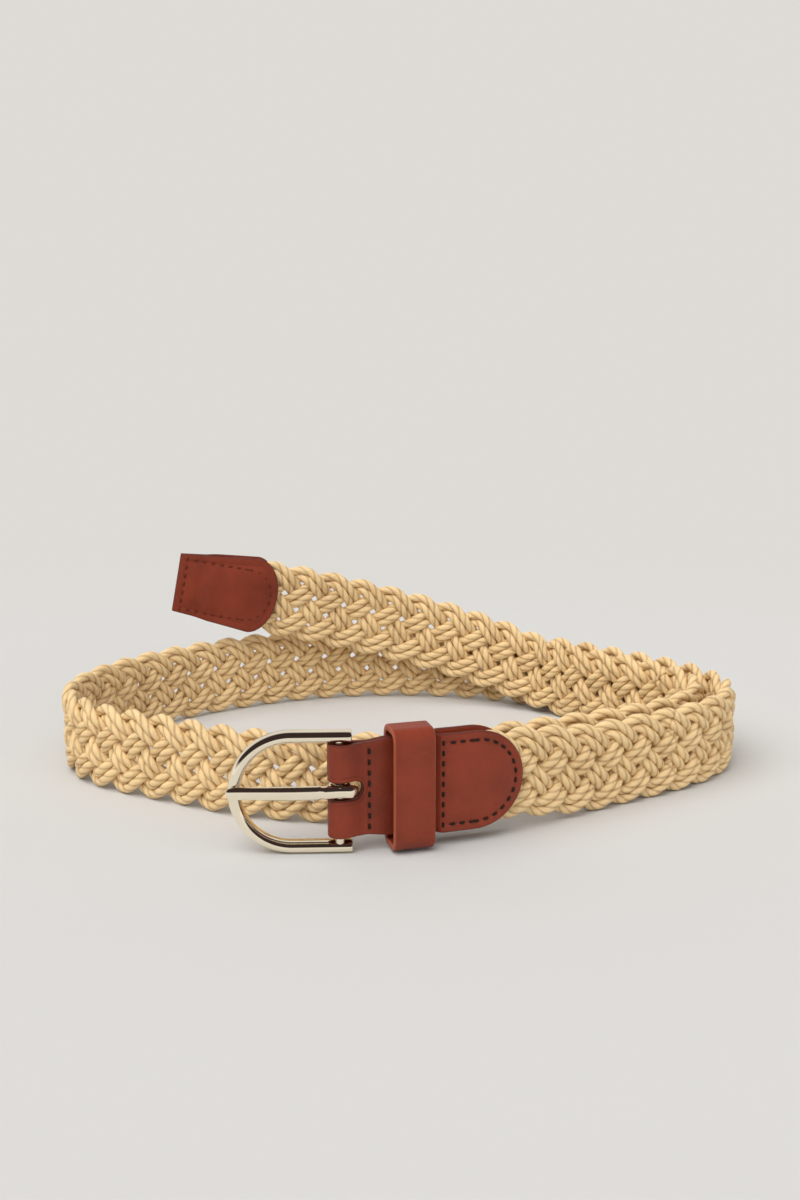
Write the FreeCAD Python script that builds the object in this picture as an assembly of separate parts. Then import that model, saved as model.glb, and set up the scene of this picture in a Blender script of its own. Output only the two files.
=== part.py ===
import FreeCAD, Part
import math
import os

# A braided cord belt with leather ends, standing on its edge in a coil of one and a half turns.
# Millimetres, Z up. The origin is on the floor, under the middle of the coil.
# s runs along the belt from the buckle bar, n points out of the loop and h climbs the strap.

V = FreeCAD.Vector

# Braided strap
BRAID_WIDTH = 30.0
BRAID_THICKNESS = 6.0
BRAID_SWELLS_IN = 5.0          # length over which the pressed end swells to full thickness
BRAID_END_THICKNESS = 3.9      # where it is pressed flat between two leaves of leather

# Leather
LEATHER = 1.9                  # each leaf of the buckle end
FOLD_LEATHER = 2.2             # round the bar, where the leaf is turned
TIP_LEATHER = 1.7
KEEPER_LEATHER = 2.0
FOLD_INSET = 0.1               # how far the fold's edges stand back from the leaves'
FOLD_RUNS_ON = 1.0             # how far it runs on between them
BILLET_PAST_BRAID = 0.4        # how far its edges stand above and below the strap's
TAB_PAST_BRAID = 0.6
BILLET_HEIGHT = BRAID_WIDTH + 2.0 * BILLET_PAST_BRAID
TAB_HEIGHT = BRAID_WIDTH + 2.0 * TAB_PAST_BRAID
STITCH_LINE_S = 8.6
BILLET_START_S = 7.0
BILLET_END_S = 27.6
TAB_LEAVES_S = 31.0            # past here the two leaves hold the braid between them
TAB_END_S = 57.0
BRAID_START_S = 32.0
LEAF_SPACING = 1.5             # between the sections that a leaf is drawn through
POCKET_MARGIN = 2.5            # how far the cut between two leaves runs past the strap's edges
LEAF_GAP = 0.05                # between a leaf and the braid that it holds

# Buckle
BUCKLE_HEIGHT = 38.1
BUCKLE_LENGTH = 37.0           # from the curved end to the ends of the arms
BUCKLE_DEPTH = 4.0
RIM = 3.6
ARM_PAST_BAR = 3.8
BUCKLE_CHAMFER = 0.7
BUCKLE_HEADING = 2.0           # degrees from +X
BAR_RADIUS = 1.5
BAR_IN_ARM = 2.6
BAR_CLEARANCE = 0.08

# Where the leather stands in the buckle
LEATHER_RAISE = 0.7            # above the buckle's middle
FOLD_SIDE_GAP = 0.3            # between the fold's upper edge and the ring
LEATHER_MIDDLE_Z = BUCKLE_HEIGHT / 2.0 + LEATHER_RAISE
FOLD_HEIGHT = BUCKLE_HEIGHT - 2.0 * (RIM + LEATHER_RAISE + FOLD_SIDE_GAP)

# Prong
PRONG_WIDTH = 4.2
PRONG_THICKNESS = 1.8
PRONG_ARCH = 0.3
PRONG_TIP_WIDTH = 3.6
PRONG_RAISE = 0.8              # above the buckle's middle
PRONG_OVER_RIM = 0.3
PRONG_PAST_RIM = 0.4
SLOT_CLEARANCE = 0.7

# Keeper
KEEPER_WIDTH = 12.7
KEEPER_S = 20.95
KEEPER_BACK_GAP = 0.35
KEEPER_FRONT_GAP = 4.6         # room for the free end of the strap
KEEPER_SIDE_GAP = 1.5
KEEPER_CORNER = 4.0
STAPLE_LENGTH = 9.0
STAPLE_WIRE = 0.6
STAPLE_LEG = 1.5

# Tip
TIP_LENGTH = 38.0
TIP_INSIDE_BRAID = 0.2         # how far its edges stand inside the strap's
TIP_HEIGHT = BRAID_WIDTH - 2.0 * TIP_INSIDE_BRAID
TIP_END_HEIGHT = 22.8
TIP_ROUND = 9.0                # how far its inner end bulges along the strap
TIP_HOLDS = 15.0               # length of braid held between its leaves
BRAID_INSIDE_TIP = 0.7         # how far the braid's end stands back from the tip's edges
TIP_CLOSE = 6.0                # over which the leaves come together past the braid

# Stitches
STITCH_LENGTH = 1.7
STITCH_PITCH = 3.1
STITCH_WIDTH = 0.7
STITCH_PROUD = 0.35
STITCH_GAP = 0.02              # under a stitch where the leather is curved
STITCH_INSET = 2.7

# Where the strap flexes, as a length along it, and the gap left at each flex
FRONT_FLEX_S = 96.0
TAIL_FLEX_S = 786.0
FLEX_GAP = 0.3
KNUCKLE_INSET = 0.1            # how much less than the strap's own half thickness its radius is

# How high the bottom edge of the strap is above the floor
BRAID_BELOW_LEATHER = 0.45     # between their middles, inside the tab
FRONT_LIFT = LEATHER_MIDDLE_Z - BRAID_WIDTH / 2.0 - BRAID_BELOW_LEATHER
FRONT_LIFT_FROM_S = 50.0
FRONT_LIFT_TO_S = 92.0
TAIL_LIFT_FROM_S = 801.0
TAIL_RAMP = 24.0
TAIL_CROSSES_S = 933.0         # where it stands over the turn below
TAIL_CLEARS_BY = 2.4
TAIL_SLOPE = (BRAID_WIDTH + TAIL_CLEARS_BY) / (TAIL_CROSSES_S - TAIL_LIFT_FROM_S - TAIL_RAMP / 2.0)
TAIL_DROOP_FROM_END = 60.0
TAIL_DROOP = 0.08

# The middle of the strap on the floor: the leather end, once round the outside, then inside
BAR_XY = (-17.9, -82.5)
ROUTE = [
    BAR_XY, (-7.3, -79.6), (3.3, -76.6), (13.9, -73.7), (25.9, -69.5), (37.4, -64.1),
    (50, -56.4), (66, -45.8), (82, -36), (98, -25.4), (110.2, -13), (116, 2),
    (113, 17), (103.8, 30.5), (91, 43), (75.5, 56), (58, 68.5), (38, 78),
    (16, 83.5), (-8, 84.8), (-30, 81.5), (-50, 74.5), (-70, 63.5), (-88, 50),
    (-102.5, 34.5), (-112.5, 17), (-116, -1), (-109, -18), (-93, -31), (-74, -41),
    (-56, -50.3), (-37, -56.5), (-16, -58.5), (5, -56), (24, -50.8), (43, -43.5),
    (62, -35), (80, -26), (95, -14.5), (104, -1), (105, 12.5), (98.5, 25),
    (87.5, 35.5), (75, 46), (61, 56.8), (45, 66), (26, 72.5), (4, 75.2),
    (-18, 73.3), (-38, 68.6), (-56, 64), (-74, 60), (-90, 57),
]


def spline(points):
    curve = Part.BSplineCurve()
    curve.interpolate(points)
    return curve


PLAN = spline([V(x, y, 0) for x, y in ROUTE])
BELT_END_S = PLAN.length()
TIP_START_S = BELT_END_S - TIP_LENGTH
BRAID_END_S = TIP_START_S + TIP_ROUND + TIP_HOLDS


def plan_at(s):
    """The point of the route at length s, and its unit tangent."""
    point, tangent = PLAN.getD1(PLAN.parameterAtDistance(s, PLAN.FirstParameter))
    return point, tangent.normalize()


def heading_at(s):
    tangent = plan_at(s)[1]
    return math.degrees(math.atan2(tangent.y, tangent.x))


def front_lift(s):
    """The leather end stands on the buckle, and the braid beyond it sinks smoothly to the floor."""
    share = (s - FRONT_LIFT_FROM_S) / (FRONT_LIFT_TO_S - FRONT_LIFT_FROM_S)
    share = min(max(share, 0.0), 1.0)
    return FRONT_LIFT * (1.0 - share) ** 2 * (1.0 + 2.0 * share)


def tail_lift(s):
    """The free end ramps up to cross over the turn below it, and droops a little at the tip."""
    along = max(s - TAIL_LIFT_FROM_S, 0.0)
    if along < TAIL_RAMP:
        lift = TAIL_SLOPE * along ** 2 / (2.0 * TAIL_RAMP)
    else:
        lift = TAIL_SLOPE * (along - TAIL_RAMP / 2.0)
    droop = max(s - (BELT_END_S - TAIL_DROOP_FROM_END), 0.0)
    return lift - TAIL_DROOP * droop ** 2 / (2.0 * TAIL_DROOP_FROM_END)


def lift_at(s):
    return tail_lift(s) if s > FRONT_LIFT_TO_S else front_lift(s)


def climb_at(s):
    """The angle, in radians, at which the free end climbs."""
    if s <= TAIL_LIFT_FROM_S:
        return 0.0
    step = 0.5
    rise = tail_lift(min(s + step, BELT_END_S)) - tail_lift(s - step)
    return math.atan(rise / (min(s + step, BELT_END_S) - (s - step)))


def strap_frame(s):
    """A placement with X along the strap, Y into the loop and Z up the strap, at its bottom edge."""
    point = plan_at(s)[0]
    turn = FreeCAD.Rotation(V(0, 0, 1), heading_at(s))
    climb = FreeCAD.Rotation(V(0, 1, 0), -math.degrees(climb_at(s)))
    return FreeCAD.Placement(V(point.x, point.y, lift_at(s)), turn.multiply(climb))


def on_strap(s, n, h):
    return strap_frame(s).multVec(V(0, -n, h))


def stations(start, end, spacing):
    count = max(2, int(math.ceil((end - start) / spacing)))
    return [start + (end - start) * i / count for i in range(count + 1)]


def ribbon(start, end, section, spacing=6.0):
    """A closed band. section(s) gives n and h of its four corners, in order round the section."""
    rows = [[on_strap(s, n, h) for n, h in section(s)] for s in stations(start, end, spacing)]
    edges = [spline([row[i] for row in rows]).toShape() for i in range(4)]
    faces = [Part.makeRuledSurface(edges[i], edges[(i + 1) % 4]) for i in range(4)]
    for row in (rows[0], rows[-1]):
        faces.append(Part.Face(Part.makePolygon(row + [row[0]])))
    shell = Part.makeShell(faces)
    shell.sewShape()
    solid = Part.makeSolid(shell)
    if solid.Volume < 0:
        solid.reverse()
    return solid


def pocket_section(opening):
    """A section of the space between two leaves, a little taller than the leaves."""
    low = -POCKET_MARGIN
    high = BRAID_WIDTH + POCKET_MARGIN
    return lambda s: [(-opening(s), low), (opening(s), low), (opening(s), high), (-opening(s), high)]


def leather_frame():
    """X along the leather end from the bar, Y into the loop, Z up from the floor."""
    return FreeCAD.Placement(V(*BAR_XY, 0), FreeCAD.Rotation(V(0, 0, 1), heading_at(12.0)))


def buckle_frame_place():
    return FreeCAD.Placement(V(*BAR_XY, 0), FreeCAD.Rotation(V(0, 0, 1), BUCKLE_HEADING))


def placed(shape, placement):
    moved = shape.copy()
    moved.Placement = placement.multiply(moved.Placement)
    return moved


def closed_face(edges):
    return Part.Face(Part.Wire(Part.__sortEdges__(edges)))


def leather_half_height(s):
    """Half the height of the buckle leather, which widens from the fold to the tab."""
    steps = [(STITCH_LINE_S, FOLD_HEIGHT), (15.0, BILLET_HEIGHT), (TAB_LEAVES_S, TAB_HEIGHT)]
    if s <= steps[0][0]:
        return FOLD_HEIGHT / 2.0
    for (s0, height0), (s1, height1) in zip(steps, steps[1:]):
        if s <= s1:
            return (height0 + (height1 - height0) * (s - s0) / (s1 - s0)) / 2.0
    return TAB_HEIGHT / 2.0


def leather_section(n_low, n_high):
    """A section of the buckle leather, whose heights are measured from the floor."""
    def section(s):
        low = LEATHER_MIDDLE_Z - leather_half_height(s) - lift_at(s)
        high = LEATHER_MIDDLE_Z + leather_half_height(s) - lift_at(s)
        return [(n_low(s), low), (n_high(s), low), (n_high(s), high), (n_low(s), high)]
    return section


def smooth(share):
    """Rises smoothly from 0 to 1 as share does, and stays there outside that range."""
    share = min(max(share, 0.0), 1.0)
    return share * share * (3.0 - 2.0 * share)


def tab_opening(s):
    """Half the gap between the two leaves: none at the billet, half the braid's end in the tab."""
    full = BRAID_END_THICKNESS / 2.0 + LEAF_GAP
    return full * smooth((s - BILLET_END_S) / (TAB_LEAVES_S - BILLET_END_S))


def fold():
    """The leather turned round the bar: a teardrop in plan that runs on between the leaves."""
    bore = BAR_RADIUS + BAR_CLEARANCE
    outside = bore + FOLD_LEATHER
    half = LEATHER - FOLD_INSET
    end = BILLET_START_S + FOLD_RUNS_ON
    outer = [
        Part.Arc(V(0, -outside, 0), V(-outside, 0, 0), V(0, outside, 0)).toShape(),
        Part.makeLine(V(0, outside, 0), V(BILLET_START_S, half, 0)),
        Part.makeLine(V(BILLET_START_S, half, 0), V(end, half, 0)),
        Part.makeLine(V(end, half, 0), V(end, -half, 0)),
        Part.makeLine(V(end, -half, 0), V(BILLET_START_S, -half, 0)),
        Part.makeLine(V(BILLET_START_S, -half, 0), V(0, -outside, 0)),
    ]
    point = V(2.0 * bore, 0, 0)
    upper = V(bore * 0.5, bore * math.sin(math.pi / 3.0), 0)
    lower = V(upper.x, -upper.y, 0)
    inner = [
        Part.Arc(lower, V(-bore, 0, 0), upper).toShape(),
        Part.makeLine(upper, point),
        Part.makeLine(point, lower),
    ]
    tall = FOLD_HEIGHT - 2.0 * FOLD_INSET
    height = V(0, 0, tall)
    turned = closed_face(outer).extrude(height).cut(closed_face(inner).extrude(height))
    turned.translate(V(0, 0, LEATHER_MIDDLE_Z - tall / 2.0))
    return placed(turned, leather_frame())


def prong_slot():
    """An oblong through the fold, wide enough for the prong to swing."""
    half = PRONG_WIDTH / 2.0 + SLOT_CLEARANCE
    reach = 2.0 * (BAR_RADIUS + BAR_CLEARANCE + FOLD_LEATHER)
    round_x = 4.0
    slot = Part.makeBox(reach + round_x, 2.0 * reach, 2.0 * half, V(-reach, -reach, -half))
    slot = slot.fuse(Part.makeCylinder(half, 2.0 * reach, V(round_x, -reach, 0), V(0, 1, 0)))
    slot.translate(V(0, 0, BUCKLE_HEIGHT / 2.0 + PRONG_RAISE))
    return placed(slot, leather_frame())


def round_end_cutter(s, reach, half_height, middle_h, past):
    """What is left outside an elliptical end that bulges by reach from station s.

    past is 1 when the end points along the strap and -1 when it points back along it."""
    major = max(reach, half_height)
    minor = min(reach, half_height)
    ellipse = Part.Ellipse(V(0, 0, 0), major, minor)
    disc = Part.Face(Part.Wire(ellipse.toShape()))
    if half_height > reach:
        disc.rotate(V(0, 0, 0), V(0, 0, 1), 90)
    disc.rotate(V(0, 0, 0), V(1, 0, 0), 90)
    depth = 4.0 * BRAID_THICKNESS
    disc.translate(V(0, depth / 2.0, middle_h))
    plug = disc.extrude(V(0, -depth, 0))
    margin = 6.0
    low_x = 0.0 if past > 0 else -(reach + margin)
    box = Part.makeBox(reach + margin, depth, 2.0 * half_height + 2.0 * margin)
    box.translate(V(low_x, -depth / 2.0, middle_h - half_height - margin))
    middle = strap_frame(s + past * reach / 2.0)
    corner = strap_frame(s)
    return placed(box.cut(plug), FreeCAD.Placement(corner.Base, middle.Rotation))


def buckle_leather():
    """One strip folded round the bar: two leaves glued and sewn together, then open over the braid."""
    leaves = ribbon(BILLET_START_S, TAB_END_S,
                    leather_section(lambda s: -tab_opening(s) - LEATHER,
                                    lambda s: tab_opening(s) + LEATHER), LEAF_SPACING)
    pocket_start = (BILLET_END_S + TAB_LEAVES_S) / 2.0
    pocket = ribbon(pocket_start, TAB_END_S + 1.0, pocket_section(tab_opening), LEAF_SPACING)
    half = TAB_HEIGHT / 2.0
    round_s = TAB_END_S - half
    middle_h = LEATHER_MIDDLE_Z - lift_at(round_s)
    rounding = round_end_cutter(round_s, half, half, middle_h, 1)
    return leaves.cut(pocket).fuse(fold()).cut(rounding).cut(prong_slot())


def buckle_frame():
    """A half-oval ring, open at the right, where its two arms take the bar."""
    left = ARM_PAST_BAR - BUCKLE_LENGTH
    top = BUCKLE_HEIGHT
    outer_r = top / 2.0
    inner_r = outer_r - RIM
    centre_x = left + outer_r
    y = -BUCKLE_DEPTH / 2.0
    mid = V(centre_x, y, outer_r)
    edges = [
        Part.makeLine(V(ARM_PAST_BAR, y, 0), V(centre_x, y, 0)),
        Part.Arc(V(centre_x, y, 0), V(left, y, outer_r), V(centre_x, y, top)).toShape(),
        Part.makeLine(V(centre_x, y, top), V(ARM_PAST_BAR, y, top)),
        Part.makeLine(V(ARM_PAST_BAR, y, top), V(ARM_PAST_BAR, y, top - RIM)),
        Part.makeLine(V(ARM_PAST_BAR, y, top - RIM), V(centre_x, y, top - RIM)),
        Part.Arc(V(centre_x, y, top - RIM), mid - V(inner_r, 0, 0), V(centre_x, y, RIM)).toShape(),
        Part.makeLine(V(centre_x, y, RIM), V(ARM_PAST_BAR, y, RIM)),
        Part.makeLine(V(ARM_PAST_BAR, y, RIM), V(ARM_PAST_BAR, y, 0)),
    ]
    ring = closed_face(edges).extrude(V(0, BUCKLE_DEPTH, 0))
    face_edges = [e for e in ring.Edges if e.BoundBox.YLength < 0.01]
    ring = ring.makeChamfer(BUCKLE_CHAMFER, face_edges)
    hole = Part.makeCylinder(BAR_RADIUS, top - 2.0 * RIM + 2.0 * BAR_IN_ARM, V(0, 0, RIM - BAR_IN_ARM))
    return placed(ring.cut(hole), buckle_frame_place())


def buckle_bar():
    """A steel pin pressed into blind holes in the two arms."""
    height = BUCKLE_HEIGHT - 2.0 * RIM + 2.0 * BAR_IN_ARM
    return placed(Part.makeCylinder(BAR_RADIUS, height, V(0, 0, RIM - BAR_IN_ARM)), buckle_frame_place())


def buckle_prong():
    """An eye round the bar and an arched shank that ends over the rim."""
    bore = BAR_RADIUS + BAR_CLEARANCE
    eye_r = bore + PRONG_THICKNESS
    tip_x = ARM_PAST_BAR - BUCKLE_LENGTH - PRONG_PAST_RIM
    rest_y = -BUCKLE_DEPTH / 2.0 - PRONG_OVER_RIM
    arch_y = min(rest_y, -bore) - PRONG_ARCH
    back = [V(0, -bore, 0), V(tip_x * 0.5, arch_y, 0), V(tip_x + RIM, rest_y, 0), V(tip_x, rest_y, 0)]
    front = [V(p.x, p.y - PRONG_THICKNESS, 0) for p in back]
    front[-1] = V(tip_x, rest_y - PRONG_THICKNESS * 0.6, 0)
    profile = [
        spline(back).toShape(),
        spline(front).toShape(),
        Part.makeLine(back[0], front[0]),
        Part.makeLine(back[-1], front[-1]),
    ]
    shank = closed_face(profile).extrude(V(0, 0, PRONG_WIDTH))
    taper = closed_face(side_outline(tip_x, eye_r)).extrude(V(0, -4.0 * eye_r, 0))
    eye = Part.makeCylinder(eye_r, PRONG_WIDTH)
    prong = shank.fuse(eye).cut(Part.makeCylinder(bore, PRONG_WIDTH)).common(taper)
    prong.translate(V(0, 0, BUCKLE_HEIGHT / 2.0 + PRONG_RAISE - PRONG_WIDTH / 2.0))
    return placed(prong, buckle_frame_place())


def side_outline(tip_x, eye_r):
    """The prong seen from the front: parallel, then narrowing to a rounded tip."""
    y = 2.0 * eye_r
    middle = PRONG_WIDTH / 2.0
    half_tip = PRONG_TIP_WIDTH / 2.0
    shoulder_x = tip_x * 0.45
    round_x = tip_x + half_tip * 0.6
    corners = [
        V(round_x, y, middle + half_tip), V(shoulder_x, y, PRONG_WIDTH), V(eye_r + 1.0, y, PRONG_WIDTH),
        V(eye_r + 1.0, y, 0), V(shoulder_x, y, 0), V(round_x, y, middle - half_tip),
    ]
    edges = [Part.makeLine(a, b) for a, b in zip(corners, corners[1:])]
    edges.append(Part.Arc(corners[-1], V(tip_x, y, middle), corners[0]).toShape())
    return edges


def keeper_box(grow, corner):
    """A block round the billet, along the leather, with rounded long edges."""
    width = KEEPER_WIDTH if grow > 0 else 2.0 * KEEPER_WIDTH
    low_y = -(LEATHER + KEEPER_FRONT_GAP) - grow
    high_y = LEATHER + KEEPER_BACK_GAP + grow
    half = BILLET_HEIGHT / 2.0 + KEEPER_SIDE_GAP + grow
    block = Part.makeBox(width, high_y - low_y, 2.0 * half)
    block = block.makeFillet(corner, [e for e in block.Edges if e.BoundBox.XLength > 1.0])
    block.translate(V(KEEPER_S - width / 2.0, low_y, LEATHER_MIDDLE_Z - half))
    return block


def staple(grow):
    """A wire crown behind the loop and two legs through its wall, bigger all round by grow."""
    back_y = LEATHER + KEEPER_BACK_GAP + KEEPER_LEATHER
    wire = STAPLE_WIRE + 2.0 * grow
    side = wire / 2.0
    crown = Part.makeBox(wire, STAPLE_WIRE, STAPLE_LENGTH, V(-side, back_y, -STAPLE_LENGTH / 2.0))
    legs = []
    for middle_z in (STAPLE_LENGTH / 2.0 - side, side - STAPLE_LENGTH / 2.0):
        corner = V(-side, back_y - STAPLE_LEG - grow, middle_z - side)
        legs.append(Part.makeBox(wire, STAPLE_LEG + grow + STAPLE_WIRE / 2.0, wire, corner))
    whole = crown.fuse(legs)
    whole.translate(V(KEEPER_S, 0, LEATHER_MIDDLE_Z))
    return whole


def keeper_loop():
    """A leather band closed into a loop round the billet, with room in front for the free end."""
    loop = keeper_box(KEEPER_LEATHER, KEEPER_CORNER).cut(keeper_box(0.0, KEEPER_CORNER - KEEPER_LEATHER))
    return placed(loop.cut(staple(0.03)), leather_frame())


def keeper_staple():
    return placed(staple(0.0), leather_frame())


def swelling_band(start, end, thickness, narrowing=lambda s: 0.0):
    """The braid as one closed solid of a thickness(s), less a narrowing(s) at each edge."""
    def section(s):
        half = thickness(s) / 2.0
        low = narrowing(s)
        high = BRAID_WIDTH - narrowing(s)
        return [(-half, low), (half, low), (half, high), (-half, high)]
    return ribbon(start, end, section, 2.0)


def knuckle(s, toward):
    """The half round end of a flexing piece about the flex's own axis.

    toward is 1 when it points along the strap and -1 when it points back along it."""
    half_round = Part.makeCylinder(BRAID_THICKNESS / 2.0 - KNUCKLE_INSET, BRAID_WIDTH, V(0, 0, 0),
                                   V(0, 0, 1), 180)
    half_round.rotate(V(0, 0, 0), V(0, 0, 1), -90 * toward)
    return placed(half_round, strap_frame(s))


def braid_start():
    """The braid from inside the tab, where it is pressed flat, to the first flex."""
    def thickness(s):
        share = smooth((s - TAB_END_S) / BRAID_SWELLS_IN)
        return BRAID_END_THICKNESS + (BRAID_THICKNESS - BRAID_END_THICKNESS) * share
    return swelling_band(BRAID_START_S, FRONT_FLEX_S, thickness).fuse(knuckle(FRONT_FLEX_S, 1))


def braid_coil():
    """The braid that stands flat on the floor, all the way round and inside itself."""
    half = BRAID_THICKNESS / 2.0
    start = FRONT_FLEX_S + half + FLEX_GAP
    end = TAIL_FLEX_S - half - FLEX_GAP
    places = stations(start, end, 8.0)
    outer = [on_strap(s, half, 0.0) for s in places]
    inner = [on_strap(s, -half, 0.0) for s in places]
    edges = [
        spline(outer).toShape(),
        Part.makeLine(outer[-1], inner[-1]),
        spline(inner).toShape(),
        Part.makeLine(inner[0], outer[0]),
    ]
    return closed_face(edges).extrude(V(0, 0, BRAID_WIDTH))


def braid_tail():
    """The free end, which climbs over the turn below it and is pressed flat inside the tip."""
    def thickness(s):
        share = smooth((TIP_START_S - s) / BRAID_SWELLS_IN)
        return BRAID_END_THICKNESS + (BRAID_THICKNESS - BRAID_END_THICKNESS) * share

    def narrowing(s):
        squeezed = BRAID_WIDTH / 2.0 - tip_half_height(BRAID_END_S) + BRAID_INSIDE_TIP
        begin = TIP_START_S - BRAID_SWELLS_IN
        return squeezed * smooth((s - begin) / (BRAID_END_S - begin))
    return swelling_band(TAIL_FLEX_S, BRAID_END_S, thickness, narrowing).fuse(knuckle(TAIL_FLEX_S, -1))


def tip_opening(s):
    """Half the gap between the tip's leaves: the braid's end, closing to nothing past it."""
    full = BRAID_END_THICKNESS / 2.0 + LEAF_GAP
    return full * smooth((BRAID_END_S + TIP_CLOSE - s) / TIP_CLOSE)


def tip_half_height(s):
    """Half the tip's height, which tapers from its round inner end to its square far end."""
    share = min(max((s - TIP_START_S - TIP_ROUND) / (TIP_LENGTH - TIP_ROUND), 0.0), 1.0)
    return (TIP_HEIGHT + (TIP_END_HEIGHT - TIP_HEIGHT) * share) / 2.0


def tip_section(n_low, n_high):
    def section(s):
        low = BRAID_WIDTH / 2.0 - tip_half_height(s)
        high = BRAID_WIDTH / 2.0 + tip_half_height(s)
        return [(n_low(s), low), (n_high(s), low), (n_high(s), high), (n_low(s), high)]
    return section


def tip_leather():
    """Leather folded over the end of the braid, round at its inner end and square at the far one."""
    leaves = ribbon(TIP_START_S, BELT_END_S,
                    tip_section(lambda s: -tip_opening(s) - TIP_LEATHER,
                                lambda s: tip_opening(s) + TIP_LEATHER), LEAF_SPACING)
    pocket_end = BRAID_END_S + TIP_CLOSE / 2.0
    pocket = ribbon(TIP_START_S - 1.0, pocket_end, pocket_section(tip_opening), LEAF_SPACING)
    round_s = TIP_START_S + TIP_ROUND
    rounding = round_end_cutter(round_s, TIP_ROUND, TIP_HEIGHT / 2.0, BRAID_WIDTH / 2.0, -1)
    return leaves.cut(pocket).cut(rounding)


def stitch(s, n, h, angle, side):
    """One stitch lying on the leather: n is the surface, angle is its direction from the strap's."""
    block = Part.makeBox(STITCH_LENGTH, STITCH_PROUD, STITCH_WIDTH)
    block.translate(V(-STITCH_LENGTH / 2.0, 0, -STITCH_WIDTH / 2.0))
    block.rotate(V(0, 0, 0), V(0, 1, 0), -angle)
    y = -n - STITCH_PROUD if side > 0 else -n
    block.translate(V(0, y, h))
    return placed(block, strap_frame(s))


def seam_places(line_s, round_s, bulge, half):
    """The s, height and direction of each stitch of a D.

    The D is a straight line across the strap at line_s, two runs along it to round_s, and half
    an ellipse that bulges from there."""
    toward = 1.0 if round_s > line_s else -1.0
    across = int(2.0 * half / STITCH_PITCH)
    places = [(line_s, half * (2.0 * i / across - 1.0), 90.0) for i in range(across + 1)]
    run = round_s - line_s
    along = max(1, int(abs(run) / STITCH_PITCH))
    for i in range(1, along + 1):
        for side in (-1.0, 1.0):
            places.append((line_s + run * i / (along + 0.5), side * half, 0.0))
    around = int(math.pi * (bulge + half) / 2.0 / STITCH_PITCH)
    for i in range(around + 1):
        turn = math.pi * i / around
        s = round_s + toward * bulge * math.sin(turn)
        direction = math.atan2(-half * math.sin(turn), toward * bulge * math.cos(turn))
        places.append((s, half * math.cos(turn), math.degrees(direction)))
    return places


def fold_stitching():
    """Short stitches across the leather, just past the bar, on both faces."""
    half = FOLD_HEIGHT / 2.0 - STITCH_INSET
    count = int(2.0 * half / STITCH_PITCH)
    middle_h = LEATHER_MIDDLE_Z - lift_at(STITCH_LINE_S)
    stitches = []
    for side in (1, -1):
        for i in range(count + 1):
            h = middle_h - half + 2.0 * half * i / count
            stitches.append(stitch(STITCH_LINE_S, side * LEATHER, h, 90.0, side))
    return Part.makeCompound(stitches)


def tab_stitching():
    """A D of stitches round the braid's end, on both faces of the tab."""
    half = TAB_HEIGHT / 2.0 - STITCH_INSET
    round_s = TAB_END_S - TAB_HEIGHT / 2.0
    stitches = []
    for side in (1, -1):
        for s, up, angle in seam_places(TAB_LEAVES_S, round_s, half, half):
            opening = max(tab_opening(s - STITCH_LENGTH), tab_opening(s + STITCH_LENGTH))
            surface = side * (opening + LEATHER + STITCH_GAP)
            h = LEATHER_MIDDLE_Z - lift_at(s) + up
            stitches.append(stitch(s, surface, h, angle, side))
    return Part.makeCompound(stitches)


def tip_stitching():
    """A D of stitches on both faces of the tip, its straight side at the far end."""
    half = TIP_END_HEIGHT / 2.0 - STITCH_INSET / 2.0
    round_s = TIP_START_S + TIP_ROUND + STITCH_INSET
    stitches = []
    for side in (1, -1):
        for s, up, angle in seam_places(BELT_END_S - STITCH_INSET, round_s, TIP_ROUND, half):
            opening = max(tip_opening(s - STITCH_LENGTH), tip_opening(s + STITCH_LENGTH))
            surface = side * (opening + TIP_LEATHER + STITCH_GAP)
            stitches.append(stitch(s, surface, BRAID_WIDTH / 2.0 + up, angle, side))
    return Part.makeCompound(stitches)


NODES = {
    "buckle_frame": buckle_frame,
    "buckle_bar": buckle_bar,
    "buckle_prong": buckle_prong,
    "buckle_leather": buckle_leather,
    "fold_stitching": fold_stitching,
    "tab_stitching": tab_stitching,
    "keeper_loop": keeper_loop,
    "keeper_staple": keeper_staple,
    "braid_start": braid_start,
    "braid_coil": braid_coil,
    "braid_tail": braid_tail,
    "tip_leather": tip_leather,
    "tip_stitching": tip_stitching,
}


def main():
    os.makedirs("parts", exist_ok=True)
    for name, make in NODES.items():
        shape = make()
        shape.exportStep("parts/" + name + ".step")
        box = shape.BoundBox
        print(name, len(shape.Solids), "solids", round(shape.Volume), "mm3", "valid", shape.isValid(),
              [round(v, 1) for v in (box.XMin, box.YMin, box.ZMin, box.XMax, box.YMax, box.ZMax)])
    for s in (FRONT_FLEX_S, TAIL_FLEX_S):
        point = plan_at(s)[0]
        print("flex at", round(point.x, 3), round(point.y, 3))
    print("belt length", round(BELT_END_S, 1), "leather heading", round(heading_at(12.0), 2))


main()
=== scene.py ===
import math

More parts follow.
